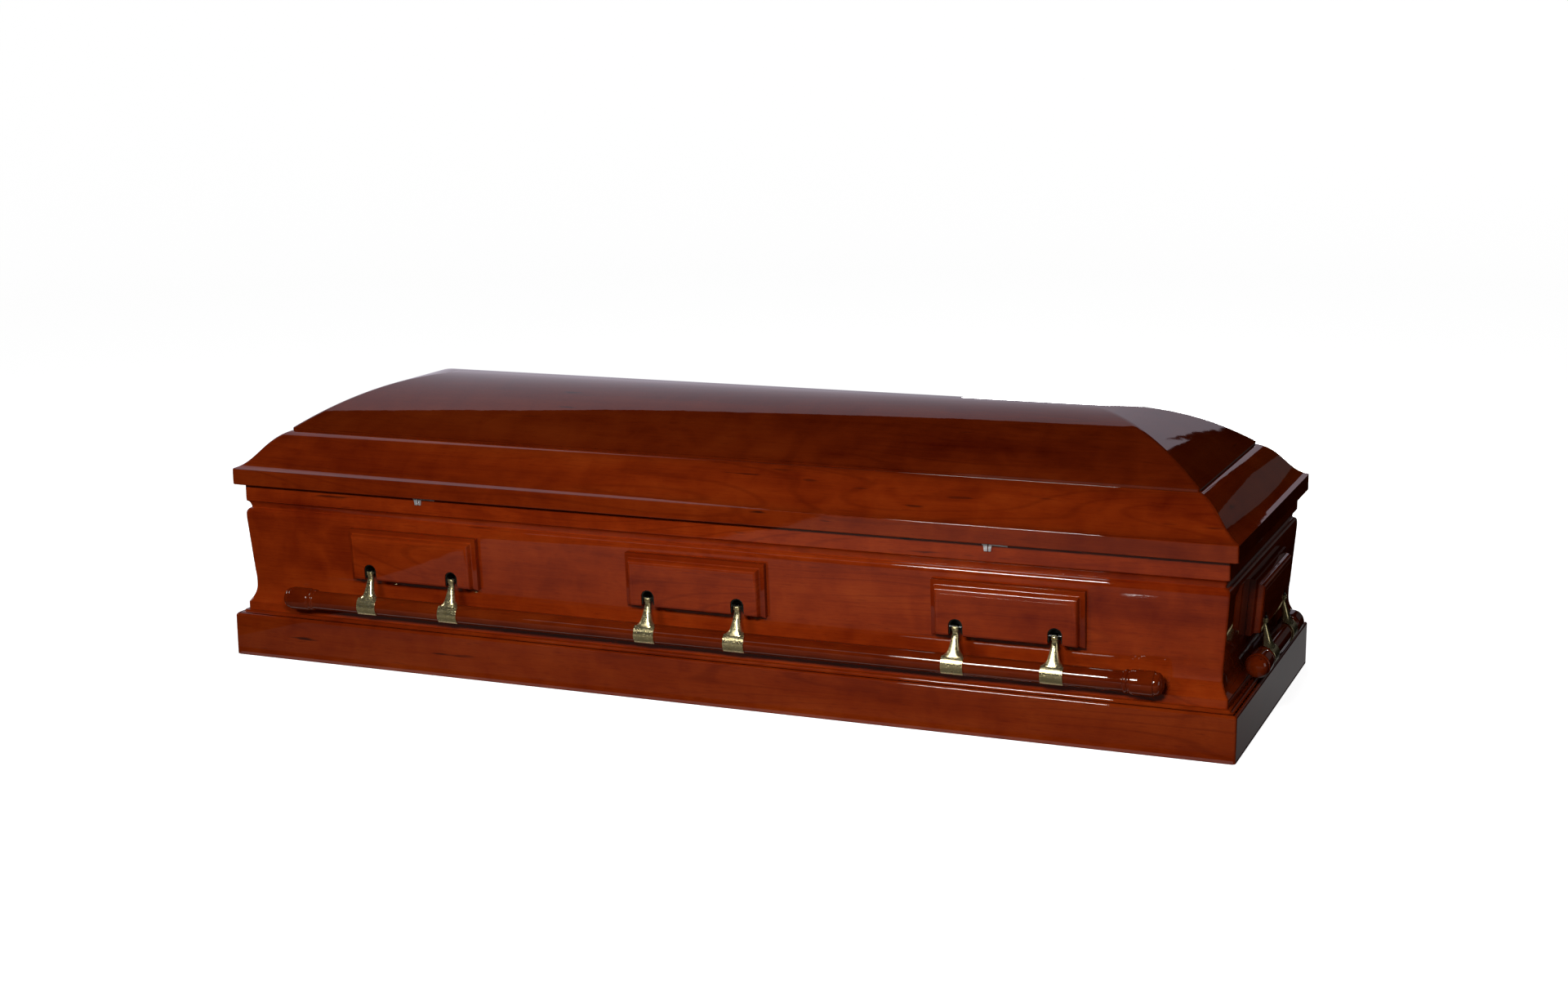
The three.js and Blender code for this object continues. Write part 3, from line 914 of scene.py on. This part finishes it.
def turned_bar(sizes, half_length):
    """A bar turned from one piece, with a bead, a barrel and a domed end on each finial."""
    radius = sizes.bar_radius / MM
    barrel = sizes.finial_radius / MM
    end = half_length / MM
    # Half the outline as radius and distance from the bar's end, in millimetres
    outline = continued(
        [(0, 0)],
        ((12, 0), (20.6, 5), (21.2, 13.5), 12),
        ((21.2, 15), (20.8, 15.6), (21, 16.2), 3),
        ((22.8, 16.5), (barrel, 18.6), (barrel, 21.5), 7),
        ((barrel, 40), (23.2, 52), (22.8, 57), 5),
        ((22.5, 60), (21.6, 61.2), (20.2, 61.6), 6),
        ((19.7, 62.6), (19.8, 64), (20.5, 64.5), 4),
        ((22.6, 64.9), (22.6, 71.2), (20.4, 71.6), 8),
        ((19.5, 71.9), (radius, 72.6), (radius, 74), 4))
    outline += [(radius, 120), (radius, end / 2), (radius, end)]
    bar = edge_chain([((end - place) * MM, 0, distance * MM) for distance, place in outline])
    bmesh.ops.mirror(bar, geom=everything(bar), axis="X", merge_dist=TOUCH)
    bmesh.ops.remove_doubles(bar, verts=bar.verts, dist=TOUCH)
    spin_about_x(bar, everything(bar), height=0, steps=sizes.turned_sides)
    close_shape(bar)
    return bar


# Stem of an arm from its eye down to the strap, in millimetres: height, front inset, back inset, width
STEM_STATIONS = (
    (204.6, 1.2, 8.6, 8.0), (204.2, -0.5, 9.4, 11.2), (203.4, -1.4, 9.8, 12.4),
    (202.4, -1.7, 10.0, 12.7), (201.3, -1.3, 10.0, 12.2), (200.6, -0.2, 10.0, 10.8),
    (200.1, -0.5, 10.0, 11.4), (199.2, -1.7, 10.0, 12.6), (198.0, -2.0, 10.0, 12.8),
    (196.7, -1.6, 9.9, 12.2), (195.8, -0.4, 9.8, 10.6), (192.0, 0.2, 9.6, 10.8),
    (187.0, -1.3, 8.9, 12.0), (181.5, -3.2, 8.0, 13.7), (176.0, -5.2, 7.2, 15.7),
    (170.5, -7.2, 6.5, 17.9), (165.5, -9.0, 6.0, 20.2), (161.0, -10.6, 5.6, 22.8),
    (157.2, -12.0, 5.3, 26.4), (154.3, -13.3, 5.1, 31.2), (152.4, -14.4, 5.0, 37.0),
    (150.6, -15.2, 5.0, 41.4), (148.2, -15.6, 4.6, 42.2),
)
STEM_SQUARENESS = 0.75         # below 1, a stem's section is squarer than an ellipse


def arm_stem():
    """The cast stem, narrow under its collar and flared like a tail above the strap."""
    stem = bmesh.new()
    verts = bmesh.ops.create_circle(stem, cap_ends=True, radius=1.0, segments=36)["verts"]
    for vert in verts:
        vert.co.xy = [copysign(abs(value) ** STEM_SQUARENESS, value) for value in vert.co.xy]
    before = Matrix.Identity(4)
    loop = stem.edges[:]
    for number, station in enumerate(STEM_STATIONS):
        height, front, back, width = [value * MM for value in station]
        place = Matrix.Translation((0, (front + back) / 2, height))
        place = place @ Matrix.Diagonal((width / 2, (back - front) / 2, 1, 1))
        if number:
            made = bmesh.ops.extrude_edge_only(stem, edges=loop)
            verts = verts_of(made)
            known = set(verts)
            loop = [edge for edge in edges_of(made) if known.issuperset(edge.verts)]
        bmesh.ops.transform(stem, matrix=place @ before.inverted(), verts=verts)
        before = place
    bmesh.ops.contextual_create(stem, geom=loop)
    bmesh.ops.recalc_face_normals(stem, faces=stem.faces)
    return stem


def rounded_section(width, low, high, round_by, steps):
    """A flat face with rounded corners, its width along X, between two distances from a centre
    along Y."""
    section = grid_face(width, high - low)
    move(section, 0, (low + high) / 2, 0)
    bevel(section, section.verts[:], round_by, steps, affect="VERTICES")
    return section


def arm_strap(sizes):
    """The strap that wraps the front of the bar, with eased edges."""
    start = radians(124)
    end = radians(228)
    strap = rounded_section(
        sizes.strap_width, low=19.5 * MM, high=21.6 * MM, round_by=0.55 * MM, steps=3)
    transform(strap, Matrix.Translation((0, 0, BAR_HEIGHT)) @ Matrix.Rotation(start, 4, "X"))
    parts = strap.faces[:] + strap.edges[:] + strap.verts[:]
    spin_about_x(strap, parts, BAR_HEIGHT, steps=22, angle=end - start)
    close_shape(strap)
    return strap


def arm_eye():
    """The ring on the pivot pin, with rounded edges."""
    eye = rounded_section(
        width=11.5 * MM, low=3.5 * MM, high=6.5 * MM, round_by=1.1 * MM, steps=4)
    move(eye, 0, PIVOT_INSET, PIVOT_HEIGHT)
    spin_about_x(eye, eye.edges[:] + eye.verts[:], PIVOT_HEIGHT, steps=36, inset=PIVOT_INSET)
    section = [face for face in eye.faces if len(face.verts) > 4]
    bmesh.ops.delete(eye, geom=section, context="FACES_ONLY")
    close_shape(eye)
    return eye


def handle_arm(sizes):
    """One cast arm: stem, strap and eye. The bar's room is cut out of the stem."""
    room = cross_rod(radius=19.9 * MM, length=60 * MM, sides=64, centre=(0, 0, BAR_HEIGHT))
    stem = joined_solid(arm_stem(), room, "DIFFERENCE")
    solid = joined_solid(stem, arm_strap(sizes), "UNION")
    return joined_solid(solid, arm_eye(), "UNION")


class CASKET_OT_handle_bars(bpy.types.Operator):
    """Add the four turned handle bars"""
    bl_idname = "casket.handle_bars"
    bl_label = "Handle Bars"

    def execute(self, context):
        sizes = context.scene.casket_sizes
        look = context.scene.casket_wood
        for side, quarters, _, half_depth in SIDES:
            low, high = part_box(f"handle_bar_{side}")
            bar = turned_bar(sizes, max(high.x - low.x, high.y - low.y) / 2)
            transform(bar, turned_side(quarters) @ Matrix.Translation((0, -half_depth, BAR_HEIGHT)))
            material = lacquered_wood(
                f"lacquer_bar_{side}", look, quarters, tone=0.62, shift=(15 + quarters, 0.3, 0.6))
            finish_piece(
                f"handle_bar_{side}", "turned", bar, material, f"handle_{side}")
        return {"FINISHED"}


class CASKET_OT_handle_arms(bpy.types.Operator):
    """Add the sixteen cast handle arms"""
    bl_idname = "casket.handle_arms"
    bl_label = "Handle Arms"

    def execute(self, context):
        material = satin_brass("satin_arm_brass", context.scene.casket_metal)
        pattern = handle_arm(context.scene.casket_sizes)
        for side, quarters, _, half_depth in SIDES:
            places = [along + offset for along in panel_centres(side)
                      for offset in (-ARM_OFFSET, ARM_OFFSET)]
            for number, along in enumerate(places, 1):
                arm = pattern.copy()
                transform(arm, turned_side(quarters) @ Matrix.Translation((along, -half_depth, 0)))
                finish_piece(
                    f"handle_arm_{side}_{number}", "cast", arm, material,
                    f"handle_{side}")
        pattern.free()
        return {"FINISHED"}


# Lid catches

def eased_box(width, depth, height, round_by):
    """A box with rounded edges."""
    box = bmesh.new()
    bmesh.ops.create_cube(box, size=1.0)
    bmesh.ops.scale(box, vec=(width, depth, height), verts=box.verts)
    bevel(box, box.edges[:], round_by, 3)
    return box


def lid_catch(width, depth, height):
    """A tab folded in two leaves that narrow downwards, a small ear and a thin tapering plate."""
    half = width / 2
    fold = 1.2 * MM
    gap = 2 * MM
    leaf_depth = depth * 0.6
    leaf_taper = 0.76
    plate_length = 29 * MM
    plate_taper = 0.55
    catch = bmesh.new()
    for left, right, inward in ((2 * MM - half, fold, 0), (fold + gap, half, 0.9 * MM)):
        leaf = eased_box(right - left, leaf_depth, height, 0.6 * MM)
        move(leaf, (left + right) / 2, inward - depth * 0.7, -height / 2)
        foot = [vert for vert in leaf.verts if vert.co.z < -height / 2]
        bmesh.ops.scale(
            leaf, vec=(leaf_taper, 1, 1), verts=foot, space=Matrix.Translation((-fold, 0, 0)))
        merge_shapes(catch, leaf)
    ear = eased_box(3.4 * MM, 1.2 * MM, 2.4 * MM, 0.35 * MM)
    move(ear, 1.7 * MM - half, 1.0 * MM - depth, -1.4 * MM)
    merge_shapes(catch, ear)
    plate = eased_box(plate_length, 1.5 * MM, 3.8 * MM, 0.35 * MM)
    narrow = [vert for vert in plate.verts if vert.co.x < 0]
    bmesh.ops.scale(plate, vec=(1, 1, plate_taper), verts=narrow)
    move(plate, half + plate_length / 2, -0.8 * MM, -2 * MM)
    merge_shapes(catch, plate)
    return catch


class CASKET_OT_lid_catches(bpy.types.Operator):
    """Add the two bright catches under the rim of the front"""
    bl_idname = "casket.lid_catches"
    bl_label = "Lid Catches"

    def execute(self, context):
        material = bright_plating("bright_catch_plating", context.scene.casket_metal)
        tab_half = 9.5 * MM
        for number in (1, 2):
            low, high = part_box(f"lid_catch_{number}")
            catch = lid_catch(2 * tab_half, high.y - low.y, high.z - low.z)
            move(catch, low.x + tab_half, high.y, high.z)
            finish_piece(f"lid_catch_{number}", "plated", catch, material)
        return {"FINISHED"}


# Stage

def lamp(name, place, target, size, energy, reflected):
    """A soft light that the camera doesn't see, turned from its place towards a target. It either
    only lights surfaces or only shows as a reflection."""
    data = bpy.data.lights.new(name, "AREA")
    data.shape = "RECTANGLE"
    data.size, data.size_y = size
    data.energy = energy
    made = add_object(name, data)
    made.location = place
    made.rotation_euler = (Vector(target) - Vector(place)).to_track_quat("-Z", "Y").to_euler()
    made.visible_camera = False
    made.visible_glossy = reflected
    made.visible_diffuse = not reflected


def glow_card(name, corners, radiance, fades=(), colour=(1, 1, 1)):
    """A flat glowing card that shows only in reflections. Each fade gives an axis, two places
    along it and the shares of the radiance there."""
    form = bmesh.new()
    bmesh.ops.contextual_create(form, geom=[form.verts.new(corner) for corner in corners])
    mesh = mesh_from(name, form)
    material, tree = new_material(name)
    axes = axes_of(tree, object_place(tree))
    strength = radiance
    for axis, *limits in fades:
        strength = maths(tree, "MULTIPLY", window(tree, axes[axis], *limits), strength)
    set_surface(tree, {"Color": opaque(colour), "Strength": strength}, "ShaderNodeEmission")
    mesh.materials.append(material)
    made = add_object(name, mesh)
    made.visible_camera = False
    made.visible_diffuse = False
    made.visible_shadow = False


def floor_corners(height, *places):
    """Corners of a card that lies on the floor."""
    return [(x, y, height) for x, y in places]


def photo_camera():
    """The camera at the photograph's place, found from the casket's proportions."""
    yaw = radians(22.373)
    pitch = radians(11.659)
    roll = radians(-0.4885)
    focal_pixels = 2837.8
    image_width = 1920
    sensor = 36.0
    data = bpy.data.cameras.new("photo_view")
    data.sensor_width = sensor
    data.lens = sensor * focal_pixels / image_width
    data.clip_end = 100
    made = add_object("photo_view", data)
    look = Vector((-sin(yaw) * cos(pitch), cos(yaw) * cos(pitch), -sin(pitch)))
    level = Vector((cos(yaw), sin(yaw), 0))
    upright = level.cross(look)
    right = cos(roll) * level + sin(roll) * upright
    up = cos(roll) * upright - sin(roll) * level
    place = Matrix.Translation((1.8046, -4.2685, 1.2926))
    made.matrix_world = place @ Matrix((right, up, -look)).transposed().to_4x4()
    bpy.context.scene.camera = made


def add_floor(look):
    """The round floor, which sweeps up far from the casket."""
    rows = continued([(0.0, 0.0), (7.6, 0.0)], ((9.4, 0), (10.4, 1.0), (10.4, 3.2), 10))
    sweep = edge_chain([(distance, 0, height) for distance, height in rows])
    bmesh.ops.spin(
        sweep, geom=everything(sweep), cent=(0, 0, 0), axis=(0, 0, 1), angle=2 * pi, steps=64,
        use_merge=True)
    bmesh.ops.remove_doubles(sweep, verts=sweep.verts, dist=TOUCH)
    bmesh.ops.recalc_face_normals(sweep, faces=sweep.faces)
    mesh = mesh_from("floor_sweep", sweep)
    mesh.polygons.foreach_set("use_smooth", [True] * len(mesh.polygons))
    mesh.materials.append(floor_paper("floor_paper", look))
    floor = add_object("floor_sweep", mesh)
    floor.visible_glossy = False
    floor.visible_diffuse = False


def add_world(look):
    """The even light round the stage, which doesn't show in reflections."""
    world = bpy.data.worlds.new("studio")
    bpy.context.scene.world = world
    world.use_nodes = True
    background = world.node_tree.nodes["Background"]
    background.inputs["Color"].default_value = (1, 1, 1, 1)
    background.inputs["Strength"].default_value = look.ambient
    world.cycles_visibility.glossy = False


def add_lights(look):
    """The lamps that light surfaces, and the lamps and cards that show as reflections."""
    sides = (0, 0, 0.25)
    # Name, place, target, size and power
    keys = (
        ("key_right", (0.8, -2.6, 1.44), (0.5, -0.3, 0.25), (0.7, 0.3), look.key),
        ("key_left", (-1.0, -2.6, 1.44), (-0.7, -0.3, 0.25), (0.7, 0.3), look.key * 0.5),
        ("back_key", (-0.3, 2.7, 0.6), sides, (1.6, 0.8), 40),
        ("left_key", (-3.2, 0.2, 0.7), sides, (1.2, 0.8), 20),
        ("top_soft", (0, 0.3, 3.2), (0, 0, 0.5), (3, 2), 8),
    )
    strips = (
        ("front_strip", (-1.0, -2.29, 1.48), (-1.0, -0.36, 0.13), (1.2, 0.3), 1.2),
        ("back_strip", (0.4, 2.6, 0.55), (0.4, 0.36, 0.2), (1.6, 0.25), 16),
        ("left_strip", (-3.0, -0.3, 1.4), (-1.05, 0, 0.2), (1.0, 0.25), 12),
    )
    for key in keys:
        lamp(*key, reflected=False)
    soft_box = (
        (-0.40, -2.405, 1.316), (0.245, -2.405, 1.316), (0.245, -2.175, 1.644), (-0.40, -2.175, 1.644),
    )
    glow_card("front_box", soft_box, look.strip, ((0, -0.40, -0.26, 0.0, 1.0),))
    for strip in strips:
        lamp(*strip, reflected=True)
    wall_tint = (0.93, 0.86, 1.0)
    wall_fade = ((0, -1.6, 0.0, 1.0, 0.57),)
    wall_left = (-3.4, 1.15)
    wall_right = (1.3, 3.87)
    behind = (
        (-2.72, -0.06, 2.2), (-1.85, 0.44, 2.2), (-1.48, 0.66, 2.2), (-1.1, 0.93, 2.15),
        (-0.64, 1.20, 2.15), (-0.2, 1.45, 2.15), (0.19, 1.62, 2.2), (0.81, 2.88, 1.41),
        (0.97, 3.0, 1.37), (1.07, 3.18, 1.29), (*wall_right, 0.8), (*wall_left, 0.8),
    )
    glow_card("wall_behind", behind, 0.80, wall_fade, wall_tint)
    behind_low = ((*wall_left, 0.8), (*wall_right, 0.8), (*wall_right, 0.0), (*wall_left, 0.0))
    glow_card("wall_foot", behind_low, 0.62, wall_fade, wall_tint)
    beside = ((3.0, -1.7, 0.15), (3.0, -0.5, 0.15), (3.0, -0.5, 1.1), (3.0, -1.7, 1.1))
    glow_card("wall_beside", beside, 1.6)
    before = floor_corners(
        0.002, (-1.17, -0.40), (-0.45, -1.85), (-0.2, -2.6), (2.2, -2.6), (2.2, -0.7), (1.15, -0.40))
    before_fades = ((1, -1.1, -0.5, 1.0, 0.28), (0, 0.1, 1.0, 1.0, 0.65))
    glow_card("floor_before", before, 0.34, before_fades, (1.0, 0.94, 0.86))
    edge = floor_corners(0.001, (-1.05, -0.358), (-1.05, -0.374), (1.05, -0.374), (1.05, -0.358))
    glow_card("floor_edge", edge, 0.8)
    end = floor_corners(0.002, (1.052, -0.36), (1.115, -0.36), (1.115, 0.75), (1.052, 0.75))
    glow_card("floor_beside", end, 0.17, ((1, -0.35, 0.2, 0.5, 1.0),))
    far_wall = ((1.5, 2.8, 0.2), (2.4, 2.8, 0.2), (2.4, 2.8, 1.0), (1.5, 2.8, 1.0))
    glow_card("far_wall", far_wall, 0.06)
    glint = floor_corners(0.01, (0.66, -0.99), (0.74, -0.99), (0.74, -1.01), (0.66, -1.01))
    glow_card("floor_glint", glint, 12, ((0, 0.66, 0.69, 0.0, 1.0), (0, 0.70, 0.74, 1.0, 0.0)))


class CASKET_OT_stage(bpy.types.Operator):
    """Add the floor, the soft lights and the camera"""
    bl_idname = "casket.stage"
    bl_label = "Stage"

    def execute(self, context):
        look = context.scene.casket_stage
        add_floor(look)
        add_world(look)
        add_lights(look)
        photo_camera()
        context.scene.view_settings.view_transform = "Standard"
        return {"FINISHED"}


class CASKET_PT_sidebar(bpy.types.Panel):
    """The casket's sizes, colours and pieces"""
    bl_idname = "CASKET_PT_sidebar"
    bl_label = "Casket"
    bl_space_type = "VIEW_3D"
    bl_region_type = "UI"
    bl_category = "Casket"

    def draw(self, context):
        for group in ("casket_sizes", "casket_wood", "casket_metal", "casket_stage"):
            values = getattr(context.scene, group)
            box = self.layout.box()
            for name in values.bl_rna.properties.keys():
                if name not in ("rna_type", "name"):
                    box.prop(values, name)
        for operator in OPERATORS:
            self.layout.operator(operator.bl_idname)


GROUPS = {
    "casket_sizes": CasketSizes,
    "casket_wood": WoodLook,
    "casket_metal": MetalLook,
    "casket_stage": StageLook,
}
OPERATORS = (
    CASKET_OT_base_mouldings,
    CASKET_OT_side_boards,
    CASKET_OT_lid_rims,
    CASKET_OT_lid_crowns,
    CASKET_OT_bottom_board,
    CASKET_OT_raised_panels,
    CASKET_OT_arm_lugs,
    CASKET_OT_handle_bars,
    CASKET_OT_handle_arms,
    CASKET_OT_lid_catches,
    CASKET_OT_stage,
)


def register():
    """Registers the classes and hangs the property groups on the scene."""
    for made in (*GROUPS.values(), *OPERATORS, CASKET_PT_sidebar):
        bpy.utils.register_class(made)
    for name, group in GROUPS.items():
        setattr(bpy.types.Scene, name, PointerProperty(type=group))


def unregister():
    """Takes the property groups and classes away again."""
    for name in GROUPS:
        delattr(bpy.types.Scene, name)
    for made in reversed((*GROUPS.values(), *OPERATORS, CASKET_PT_sidebar)):
        bpy.utils.unregister_class(made)


def main():
    """Builds every piece and the stage."""
    register()
    for operator in OPERATORS:
        group, name = operator.bl_idname.split(".")
        getattr(getattr(bpy.ops, group), name)()


if __name__ == "__main__":
    main()
